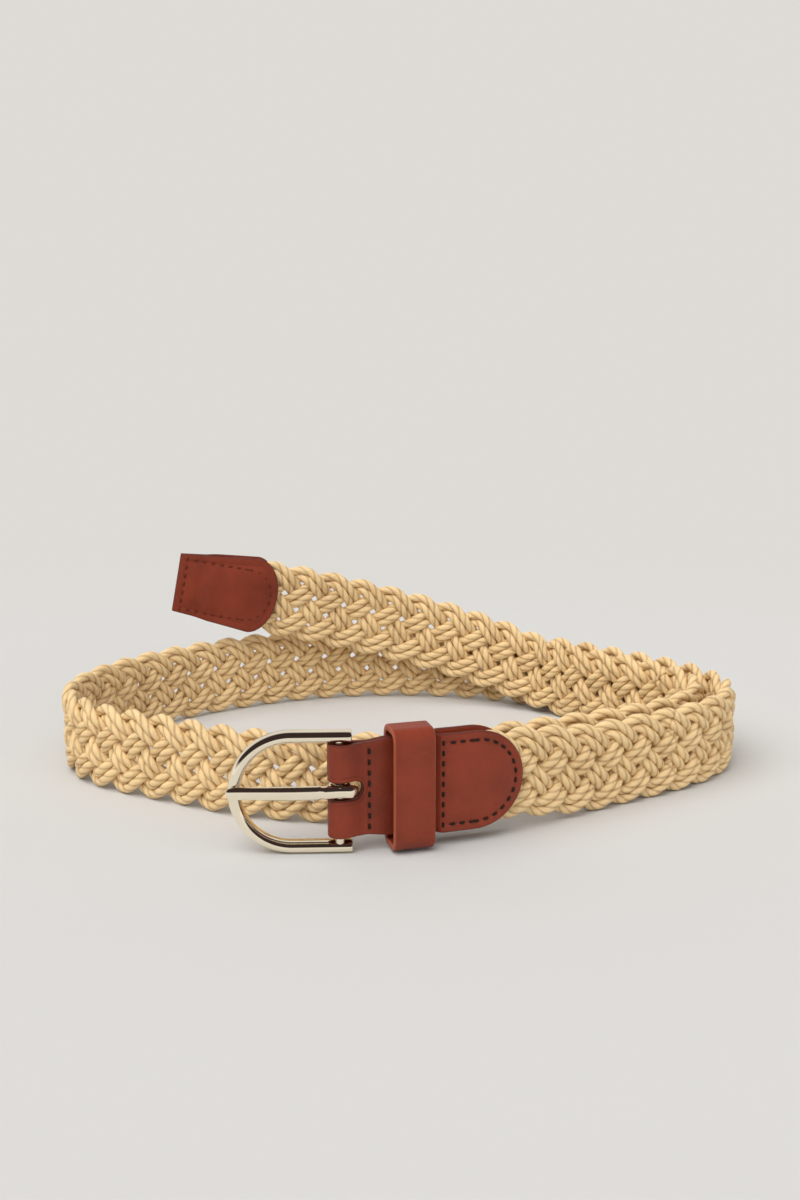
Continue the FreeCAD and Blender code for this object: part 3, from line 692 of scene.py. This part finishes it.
def fold_path(thickness):
    """The fold's middle line in the leather's plan, from the front leaf round the bar to the back."""
    around = 2.70
    flat = thickness / 2.0
    turn = np.linspace(-math.pi / 2.0, math.pi / 2.0, 40)
    arc = np.stack([-around * np.cos(turn), around * np.sin(turn)], -1)
    x = np.linspace(HIDDEN_S, 0.0, 90)[:-1]
    near = flat + (around - flat) * smooth((7.5 - x) / 7.5)
    front = np.stack([x, -near], -1)
    back = np.stack([x[::-1], near[::-1]], -1)
    return np.concatenate([front, arc, back])


def fold_half(up, thickness):
    """The strip round the bar, above or below the prong's slot."""
    line = fold_path(thickness)
    tangent = np.gradient(line, axis=0)
    tangent /= np.linalg.norm(tangent, axis=1)[:, None]
    normal = np.stack([tangent[:, 1], -tangent[:, 0]], -1)
    rows = np.arange(len(line), dtype=float)

    def at(values, u):
        return values[u.astype(int)]

    def slot(u, v):
        x = at(line[:, 0], u)
        across = v - up * SLOT_RAISE
        return np.where(x < SLOT_ROUND_X, np.abs(across), np.hypot(x - SLOT_ROUND_X, across)) - SLOT_HALF

    def low(u):
        ahead = np.clip(at(line[:, 0], u) - SLOT_ROUND_X, 0.0, SLOT_HALF)
        return up * SLOT_RAISE + np.sqrt(SLOT_HALF**2 - ahead**2)

    def high(u):
        return leather_half(at(line[:, 0], u))

    def distance(u, v):
        return np.maximum(np.minimum(high(u) - v, slot(u, v)), 0.0)

    def place(u, v, b):
        spot = at(line, u) + b[..., None] * -at(normal, u)
        return leather_point(spot[..., 0], spot[..., 1], LEATHER_MIDDLE_Z + up * v)

    def relief(u, v):
        outline = np.exp(-((slot(u, v) - OUTLINE_OFFSET) / 0.32)**2)
        seam = np.exp(-((at(line[:, 0], u) - STITCH_LINE_S) / 0.5)**2) * smooth((high(u) - v - 1.0) / 1.0)
        return -0.2 * outline - 0.12 * seam

    return leaf(rows, low, high, distance, thickness, place, relief, 56, 0.7)


def capsule(points_at, half_length, radius):
    """A stitch: a thread that comes up, lies on the leather and goes down again."""
    x = half_length * np.sin(np.linspace(-math.pi / 2.0, math.pi / 2.0, 9))
    girth = radius * np.sqrt(np.maximum(1.0 - (x / half_length)**4, 0.0)) + 0.02
    turn = TAU * np.arange(8) / 8
    across = girth[:, None] * np.cos(turn)[None, :]
    above = girth[:, None] * np.sin(turn)[None, :] + (0.22 * (1.0 - (x / half_length)**2) - 0.12)[:, None]
    return Surface(points_at(np.broadcast_to(x[:, None], across.shape), across, above))


def belt_stitch(s, n, h, angle, side, settings):
    cos, sin = math.cos(angle), math.sin(angle)

    def place(x, across, above):
        return belt_point(s + x * cos - across * sin, n + side * above, h + x * sin + across * cos)

    return capsule(place, settings.stitch / MM / 2.0, 0.4)


def seam_places(line_s, round_s, bulge, half, pitch):
    """The s, height and direction of each stitch of a D: a line across, two runs, half an ellipse."""
    toward = 1.0 if round_s > line_s else -1.0
    across = int(2.0 * half / pitch)
    places = [(line_s, half * (2.0 * i / across - 1.0), math.pi / 2.0) for i in range(across + 1)]
    run = round_s - line_s
    along = max(1, int(abs(run) / pitch))
    for i in range(1, along + 1):
        for side in (-1.0, 1.0):
            places.append((line_s + run * i / (along + 0.5), side * half, 0.0))
    around = int(math.pi * (bulge + half) / 2.0 / pitch)
    for i in range(around + 1):
        turn = math.pi * i / around
        direction = math.atan2(-half * math.sin(turn), toward * bulge * math.cos(turn))
        places.append((round_s + toward * bulge * math.sin(turn), half * math.cos(turn), direction))
    return places


class BELT_OT_buckle_leather(bpy.types.Operator):
    """Draws the strip folded round the bar, its tab and their stitching"""
    bl_idname = "belt.buckle_leather"
    bl_label = "Buckle leather"

    def execute(self, context):
        settings = context.scene.belt_leather
        thickness = settings.thickness / MM
        material = leather_material("leather", settings.colour, settings.worn_edge)
        surfaces = [fold_half(1.0, thickness), fold_half(-1.0, thickness),
                    tab_leaf(1.0, thickness), tab_leaf(-1.0, thickness)]
        obj = join("buckle_leather_strip", surfaces, material)
        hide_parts("buckle_leather")
        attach(obj, "buckle_end")
        thread = thread_material("dark thread", settings.thread)
        self.stitches(settings, thickness, thread)
        return {"FINISHED"}

    def stitches(self, settings, thickness, thread):
        pitch = settings.stitch_pitch / MM
        half = FOLD_HALF - STITCH_INSET
        count = int(2.0 * half / pitch)
        fold = []
        tab = []
        for side in (1.0, -1.0):
            for i in range(count + 1):
                z = LEATHER_MIDDLE_Z + half * (2.0 * i / count - 1.0)
                n = side * (thickness + FOLD_STITCH_PROUD)
                fold.append(belt_stitch(STITCH_LINE_S, n, z - FRONT_LIFT, math.pi / 2.0, side, settings))
            half_tab = TAB_HALF - STITCH_INSET
            for s, up, angle in seam_places(TAB_LEAVES_S, TAB_ROUND_S, half_tab, half_tab, pitch):
                n = side * (float(tab_opening(s)) + thickness - TAB_STITCH_SUNK)
                h = LEATHER_MIDDLE_Z - float(lift_at(s)) + up
                tab.append(belt_stitch(s, n, h, angle, side, settings))
        rows = (("fold_stitches", fold, "fold_stitching"), ("tab_stitches", tab, "tab_stitching"))
        for name, stitches, node in rows:
            obj = join(name, stitches, thread)
            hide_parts(node)
            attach(obj, "buckle_end")


KEEPER_S = 20.95
KEEPER_BACK_GAP = 0.35
KEEPER_FRONT_GAP = 4.6
KEEPER_SIDE_GAP = 1.5
KEEPER_INNER_CORNER = 2.0


def rounded_loop(low_y, high_y, half_z, radius, count=24):
    """Points and outward normals round a rectangle with round corners, evenly enough for a band."""
    points = []
    normals = []
    for corner, (cy, cz) in enumerate(((1, 1), (-1, 1), (-1, -1), (1, -1))):
        centre = np.array([(high_y - radius) if cy > 0 else (low_y + radius), cz * (half_z - radius)])
        turn = math.pi / 2.0 * (corner + np.linspace(0.0, 1.0, 10))
        normal = np.stack([np.cos(turn), np.sin(turn)], -1)
        points.append(centre + radius * normal)
        normals.append(normal)
    loop = []
    facing = []
    for k in range(4):
        loop.append(points[k])
        facing.append(normals[k])
        begin, end = points[k][-1], points[(k + 1) % 4][0]
        share = np.linspace(0.0, 1.0, count + 1)[1:-1, None]
        loop.append(begin + (end - begin) * share)
        facing.append(np.broadcast_to(normals[k][-1], (count - 1, 2)))
    return np.concatenate(loop), np.concatenate(facing)


class BELT_OT_keeper(bpy.types.Operator):
    """Draws the keeper, a band of leather round the strip with room in front for the free end"""
    bl_idname = "belt.keeper"
    bl_label = "Keeper"

    def execute(self, context):
        settings = context.scene.belt_leather
        wall = settings.keeper_thickness / MM
        width = settings.keeper_width / MM
        leaf_thickness = settings.thickness / MM
        line, normal = rounded_loop(-(leaf_thickness + KEEPER_FRONT_GAP) - wall / 2.0,
                                    leaf_thickness + KEEPER_BACK_GAP + wall / 2.0,
                                    BILLET_HALF + KEEPER_SIDE_GAP + wall / 2.0,
                                    KEEPER_INNER_CORNER + wall / 2.0)
        section = rounded_section(width, wall, 0.55, 6, 18)
        spot = line[:, None] + normal[:, None] * section[None, :, 1, None]
        along = np.broadcast_to(KEEPER_S + section[None, :, 0], spot.shape[:2])
        rings = leather_point(along, spot[..., 0], LEATHER_MIDDLE_Z + spot[..., 1])
        cut = smooth((np.abs(section[:, 0]) - (width / 2.0 - 0.45)) / 0.3)
        material = leather_material("keeper leather", settings.colour, settings.cut_edge)
        band = Surface(rings, looped=True, edge=np.broadcast_to(cut, spot.shape[:2]))
        obj = join("keeper_band", [band], material)
        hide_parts("keeper_loop")
        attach(obj, "keeper")
        steel = metal_material("steel wire", (0.6, 0.6, 0.62), 0.3)
        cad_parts["keeper_staple"].material_slots[0].material = steel
        return {"FINISHED"}


TIP_STITCH_SUNK = 0.1          # how far a stitch's middle is under the leather's face
TIP_HALF = 14.8
TIP_END_HALF = 11.4
TIP_ROUND = 9.0
TIP_CLOSE = 6.0
TIP_ROUND_S = TIP_START_S + TIP_ROUND


def tip_half(s):
    share = np.clip((s - TIP_ROUND_S) / (TIP_LENGTH - TIP_ROUND), 0.0, 1.0)
    return TIP_HALF + (TIP_END_HALF - TIP_HALF) * share


def tip_distance(s, v):
    """Distance in from the tip's outline: an ellipse, two straight edges and a square end."""
    behind = TIP_ROUND_S - s
    share = np.hypot(behind / TIP_ROUND, v / TIP_HALF)
    reach = np.hypot(behind, v) / np.maximum(share, 1e-6)
    around = (1.0 - share) * reach
    return np.minimum(np.where(behind > 0.0, around, tip_half(s) - np.abs(v)), BELT_END_S - s)


def tip_opening(s):
    return OPEN_HALF * smooth((BRAID_END_S + TIP_CLOSE - s) / TIP_CLOSE)


def tip_leaf(side, thickness):
    """One leaf of the tip."""
    def high(s):
        behind = np.clip((TIP_ROUND_S - s) / TIP_ROUND, 0.0, 1.0)
        return np.minimum(tip_half(s), TIP_HALF * np.sqrt(np.maximum(1.0 - behind**2, 1e-5)))

    def place(s, v, b):
        n = side * (tip_opening(s) + thickness / 2.0 + b)
        return belt_point(s, n, STRAP_MIDDLE_H + v)

    def relief(s, v):
        return 0.8 * pillow(np.minimum(tip_distance(s, v) - STITCH_INSET, BELT_END_S - STITCH_INSET - s))

    rows = np.concatenate([clustered(TIP_START_S, TIP_ROUND_S, 0.3, fine_start=True),
                           np.arange(TIP_ROUND_S + 0.3, BELT_END_S - 1.0, 0.4),
                           np.linspace(BELT_END_S - 1.0, BELT_END_S, 7)])
    return leaf(rows, lambda s: -high(s), high, tip_distance, thickness, place, relief, 80)


class BELT_OT_tip(bpy.types.Operator):
    """Draws the leather over the strap's free end and its stitching"""
    bl_idname = "belt.tip"
    bl_label = "Tip"

    def execute(self, context):
        settings = context.scene.belt_leather
        thickness = settings.tip_thickness / MM
        material = leather_material("tip leather", settings.colour, settings.worn_edge)
        obj = join("tip_leaves", [tip_leaf(1.0, thickness), tip_leaf(-1.0, thickness)], material)
        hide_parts("tip_leather")
        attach(obj, "tail")
        half = TIP_END_HALF - STITCH_INSET / 2.0
        places = seam_places(BELT_END_S - STITCH_INSET, TIP_ROUND_S + STITCH_INSET, TIP_ROUND, half,
                             settings.stitch_pitch / MM)
        stitches = []
        for side in (1.0, -1.0):
            for s, up, angle in places:
                n = side * (float(tip_opening(s)) + thickness - TIP_STITCH_SUNK)
                stitches.append(belt_stitch(s, n, STRAP_MIDDLE_H + up, angle, side, settings))
        thread = thread_material("brown thread", settings.tip_thread)
        obj = join("tip_stitches", stitches, thread)
        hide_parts("tip_stitching")
        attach(obj, "tail")
        return {"FINISHED"}


# Buckle

ARM_PAST_BAR = 3.8
POLISH = 0.09                  # roughness of the plating
DOME_MIDDLE = 0.35             # where a domed section is widest, as a share of its half depth
ELLIPSE, NEARLY_SQUARE = 1.0, 0.4
PRONG_BORE = 1.58
PRONG_THICKNESS = 1.8
PRONG_RAISE = 0.8


def domed_section(width, depth, count=44):
    """A section domed in front and nearly flat at the back: half an ellipse and half a superellipse."""
    turn = TAU * (np.arange(count) + 0.5) / count
    cos, sin = np.cos(turn), np.sin(turn)
    power = np.where(sin < 0.0, ELLIPSE, NEARLY_SQUARE)
    front = depth / 2.0 * DOME_MIDDLE
    reach = np.where(sin < 0.0, depth / 2.0 + front, depth / 2.0 - front)
    through = front + reach * np.sign(sin) * np.abs(sin)**power
    return np.stack([width / 2.0 * np.sign(cos) * np.abs(cos)**power, through], -1)


def buckle_ring(settings):
    """A rounded section swept from one arm's end, round the half oval, to the other's."""
    height, length = settings.height / MM, settings.length / MM
    rim, depth = settings.rim / MM, settings.depth / MM
    middle_r = (height - rim) / 2.0
    centre_x = ARM_PAST_BAR - length + height / 2.0
    bevel = 0.5
    arm = ARM_PAST_BAR - np.array([0.0, 0.15, bevel, 3.0])
    straight = np.concatenate([arm, np.linspace(ARM_PAST_BAR - 5.0, centre_x, 6)[:-1]])
    turn = np.linspace(0.0, math.pi, 97)
    x = np.concatenate([straight, centre_x - middle_r * np.sin(turn), straight[::-1]])
    z = np.concatenate([np.full(len(straight), -middle_r), -middle_r * np.cos(turn),
                        np.full(len(straight), middle_r)])
    facing_x = np.concatenate([np.zeros(len(straight)), -np.sin(turn), np.zeros(len(straight))])
    facing_z = np.concatenate([np.full(len(straight), -1.0), -np.cos(turn), np.ones(len(straight))])
    inset = np.zeros(len(x))
    inset[:2] = inset[-1:-3:-1] = (bevel, bevel * 0.45)
    section = domed_section(rim, depth)
    share = 1.0 - inset[:, None] / (rim / 2.0)
    across = section[None, :, 0] * share
    through = section[None, :, 1] * share
    ring_x = x[:, None] + facing_x[:, None] * across
    ring_z = height / 2.0 + z[:, None] + facing_z[:, None] * across
    return Surface(buckle_point(ring_x, through, ring_z))


class BELT_OT_buckle(bpy.types.Operator):
    """Draws the ring, and plates the bar that it holds"""
    bl_idname = "belt.buckle"
    bl_label = "Buckle"

    def execute(self, context):
        settings = context.scene.belt_buckle
        gold = metal_material("light gold", settings.colour, POLISH)
        obj = join("buckle_ring", [buckle_ring(settings)], gold)
        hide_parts("buckle_frame")
        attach(obj, "buckle")
        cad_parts["buckle_bar"].material_slots[0].material = gold
        return {"FINISHED"}


def prong_surfaces(settings):
    """The shank, a domed section swept along a low arch from over the bar to the rim, and the eye.

    A waist by the bar parts the shank from the bead that curls down behind it."""
    tip_x = ARM_PAST_BAR - settings.length / MM - 0.4
    middle_z = settings.height / MM / 2.0 + PRONG_RAISE
    rest = -settings.depth / MM / 2.0 - 0.3
    knots = np.array([0.0, tip_x / 2.0, tip_x + 3.6, tip_x])
    back = np.polyfit(knots, [-PRONG_BORE, rest - 0.3, rest, rest], 3)
    bead_x, tip_round = 3.3, 2.0
    x = np.concatenate([bead_x + 2.4 * np.sin(np.linspace(1.5, 0.1, 10)),
                        np.linspace(bead_x, tip_x + tip_round, 90),
                        tip_x + tip_round * np.cos(np.linspace(0.1, 1.5, 9))])
    past = np.maximum(x - bead_x, 0.0)
    back_y = np.polyval(back, np.minimum(x, 0.0)) + 0.25 * past**2
    waist = 1.0 - 0.14 * np.exp(-((x + 5.2) / 0.45)**2)
    bead = smooth((x + 5.2) / 0.8)
    taper = smooth((tip_x * 0.4 - x) / (tip_x * 0.4 - tip_x))
    into_tip = np.maximum(tip_x + tip_round - x, 0.0) / (tip_round + 0.02)
    end = np.sqrt(np.clip(1.0 - into_tip**2, 0.02, 1.0))
    end = end * np.sqrt(np.clip(1.0 - (past / 2.42)**2, 0.02, 1.0))
    thick = (2.0 - 0.3 * taper + 0.25 * bead) * (0.4 + 0.6 * end) * waist
    wide = (4.3 - 0.5 * taper - 0.25 * bead) * end * waist
    rings = []
    for place, y, t, w in zip(x, back_y, thick, wide):
        section = domed_section(w, t, 32)
        rings.append(np.stack([np.full(len(section), place), y - t / 2.0 + section[:, 1],
                               middle_z + section[:, 0]], -1))
    rings = np.array(rings)
    shank = Surface(buckle_point(rings[..., 0], rings[..., 1], rings[..., 2]))
    turn = TAU * np.arange(40) / 40
    section = rounded_section(PRONG_THICKNESS, 4.0, 0.6, 5, 3)
    radius = np.tile(PRONG_BORE + PRONG_THICKNESS / 2.0 + section[:, 0], (len(turn), 1))
    up = middle_z + np.broadcast_to(section[None, :, 1], radius.shape)
    x, y = radius * np.cos(turn)[:, None], radius * np.sin(turn)[:, None]
    eye = Surface(buckle_point(x, y, up), looped=True)
    return [shank, eye]


class BELT_OT_prong(bpy.types.Operator):
    """Draws the prong and its eye"""
    bl_idname = "belt.prong"
    bl_label = "Prong"

    def execute(self, context):
        settings = context.scene.belt_buckle
        gold = metal_material("light gold prong", settings.colour, POLISH)
        obj = join("prong", prong_surfaces(settings), gold)
        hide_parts("buckle_prong")
        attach(obj, "tongue")
        return {"FINISHED"}


# Stage

FLOOR_REACH = 3.0
FADE_FROM, FADE_TO = 0.20, 0.42
CAMERA_PLACE = (0.0, -0.471, 0.162)
CAMERA_TILT = 77.7             # degrees up from straight down
CAMERA_LENS = 41.49
SUNS = (("key", 58.0, 50.0, 60.0, 2.7), ("fill", 45.0, -30.0, 80.0, 1.3))


def floor_material(colour, paper):
    """Paper that takes the belt's shadow near it and glows evenly in the same tone further out."""
    material, tree, shader, place = new_material("paper")
    flat = place.node("ShaderNodeVectorMath", 0, {"operation": "MULTIPLY"}, _0=place, _1=(0.8, 1.0, 1.0))
    distance = flat.node("ShaderNodeVectorMath", 1, {"operation": "LENGTH"}, _0=flat)
    far = ((distance - FADE_FROM) * (1.0 / (FADE_TO - FADE_FROM))).clamp()
    far = far * far * (far * -2.0 + 3.0)
    feed(tree, shader.inputs["Base Color"], far.mix(colour, (0.0, 0.0, 0.0)))
    feed(tree, shader.inputs["Emission Color"], far.mix((0.0, 0.0, 0.0), paper))
    shader.inputs["Emission Strength"].default_value = 1.0
    shader.inputs["Roughness"].default_value = 1.0
    shader.inputs["Specular IOR Level"].default_value = 0.0
    return material


def sweep(material):
    """A floor that curves up into a backdrop."""
    bend = 0.5
    far = 1.6
    turn = np.linspace(0.0, math.pi / 2.0, 16)
    y = np.concatenate([[-FLOOR_REACH], far + bend * np.sin(turn), [far + bend]])
    z = np.concatenate([[0.0], bend * (1.0 - np.cos(turn)), [FLOOR_REACH]])
    x = np.array([-FLOOR_REACH, FLOOR_REACH])
    points = np.stack(np.broadcast_arrays(x[None, :], y[:, None], z[:, None]), -1).reshape(-1, 3)
    rows = np.arange(len(y) - 1)
    faces = np.stack([2 * rows, 2 * rows + 1, 2 * rows + 3, 2 * rows + 2], -1)
    mesh = bpy.data.meshes.new("backdrop")
    mesh.from_pydata(points.tolist(), [], faces.tolist())
    mesh.shade_smooth()
    mesh.materials.append(material)
    obj = bpy.data.objects.new("backdrop", mesh)
    bpy.context.scene.collection.objects.link(obj)
    return obj


def studio_world(strength):
    """A bright dome, dark above the horizon on the camera's side and overhead, for the metal to show."""
    world = bpy.data.worlds.new("studio")
    world.use_nodes = True
    tree = world.node_tree
    coordinates = tree.nodes.new("ShaderNodeTexCoord")
    direction = Socket(tree, coordinates.outputs["Generated"])
    separate = tree.nodes.new("ShaderNodeSeparateXYZ")
    feed(tree, separate.inputs[0], direction)
    x, y, z = (Socket(tree, separate.outputs[i]) for i in range(3))
    ahead = ((y * -1.0 + 0.55) * 4.0).clamp()
    low = ((z - 0.10) * 6.0).clamp()
    dark = ahead * low
    background = tree.nodes["Background"]
    feed(tree, background.inputs["Color"], dark.mix((1.0, 0.985, 0.965), (0.045, 0.03, 0.03)))
    background.inputs["Strength"].default_value = strength
    return world


def sun_light(name, elevation, azimuth, angle, strength):
    """A broad distant light, kept out of reflections. Azimuth 0 shines along +Y and 90 along +X."""
    light = bpy.data.lights.new(name, "SUN")
    light.angle = math.radians(angle)
    light.energy = strength
    obj = bpy.data.objects.new(name, light)
    obj.rotation_euler = (math.radians(90.0 - elevation), 0.0, math.radians(-azimuth))
    obj.visible_glossy = False
    bpy.context.scene.collection.objects.link(obj)


class BELT_OT_stage(bpy.types.Operator):
    """Sets the floor, the lights and the camera"""
    bl_idname = "belt.stage"
    bl_label = "Stage"

    def execute(self, context):
        scene = context.scene
        settings = scene.belt_stage
        sweep(floor_material(tuple(settings.floor), tuple(settings.paper)))
        scene.world = studio_world(settings.light)
        for sun in SUNS:
            sun_light(*sun)
        camera = bpy.data.cameras.new("camera")
        camera.lens = CAMERA_LENS
        camera.sensor_width = 36.0
        camera.sensor_fit = "AUTO"
        camera.clip_start = 0.01
        obj = bpy.data.objects.new("camera", camera)
        obj.location = CAMERA_PLACE
        obj.rotation_euler = (math.radians(CAMERA_TILT), 0.0, 0.0)
        scene.collection.objects.link(obj)
        scene.camera = obj
        scene.render.resolution_x = 800
        scene.render.resolution_y = 1200
        scene.view_settings.view_transform = "Standard"
        scene.view_settings.look = "None"
        return {"FINISHED"}


class BELT_PT_panel(bpy.types.Panel):
    """Lists the belt's pieces and their settings"""
    bl_idname = "BELT_PT_panel"
    bl_label = "Braided belt"
    bl_space_type = "VIEW_3D"
    bl_region_type = "UI"
    bl_category = "Belt"

    def draw(self, context):
        for operator in OPERATORS:
            self.layout.operator(operator.bl_idname)
        for name, group in GROUPS.items():
            settings = getattr(context.scene, name)
            for key in group.__annotations__:
                self.layout.prop(settings, key)


GROUPS = {
    "belt_braid": BraidSettings,
    "belt_leather": LeatherSettings,
    "belt_buckle": BuckleSettings,
    "belt_stage": StageSettings,
}
OPERATORS = (BELT_OT_braid, BELT_OT_buckle_leather, BELT_OT_keeper, BELT_OT_tip, BELT_OT_buckle,
             BELT_OT_prong, BELT_OT_stage)


def register():
    for group in GROUPS.values():
        bpy.utils.register_class(group)
    for name, group in GROUPS.items():
        setattr(bpy.types.Scene, name, PointerProperty(type=group))
    for operator in OPERATORS + (BELT_PT_panel,):
        bpy.utils.register_class(operator)


def unregister():
    for operator in reversed(OPERATORS + (BELT_PT_panel,)):
        bpy.utils.unregister_class(operator)
    for name, group in GROUPS.items():
        delattr(bpy.types.Scene, name)
        bpy.utils.unregister_class(group)


def main():
    register()
    bpy.ops.belt.braid()
    bpy.ops.belt.buckle_leather()
    bpy.ops.belt.keeper()
    bpy.ops.belt.tip()
    bpy.ops.belt.buckle()
    bpy.ops.belt.prong()
    bpy.ops.belt.stage()


if __name__ == "__main__":
    main()
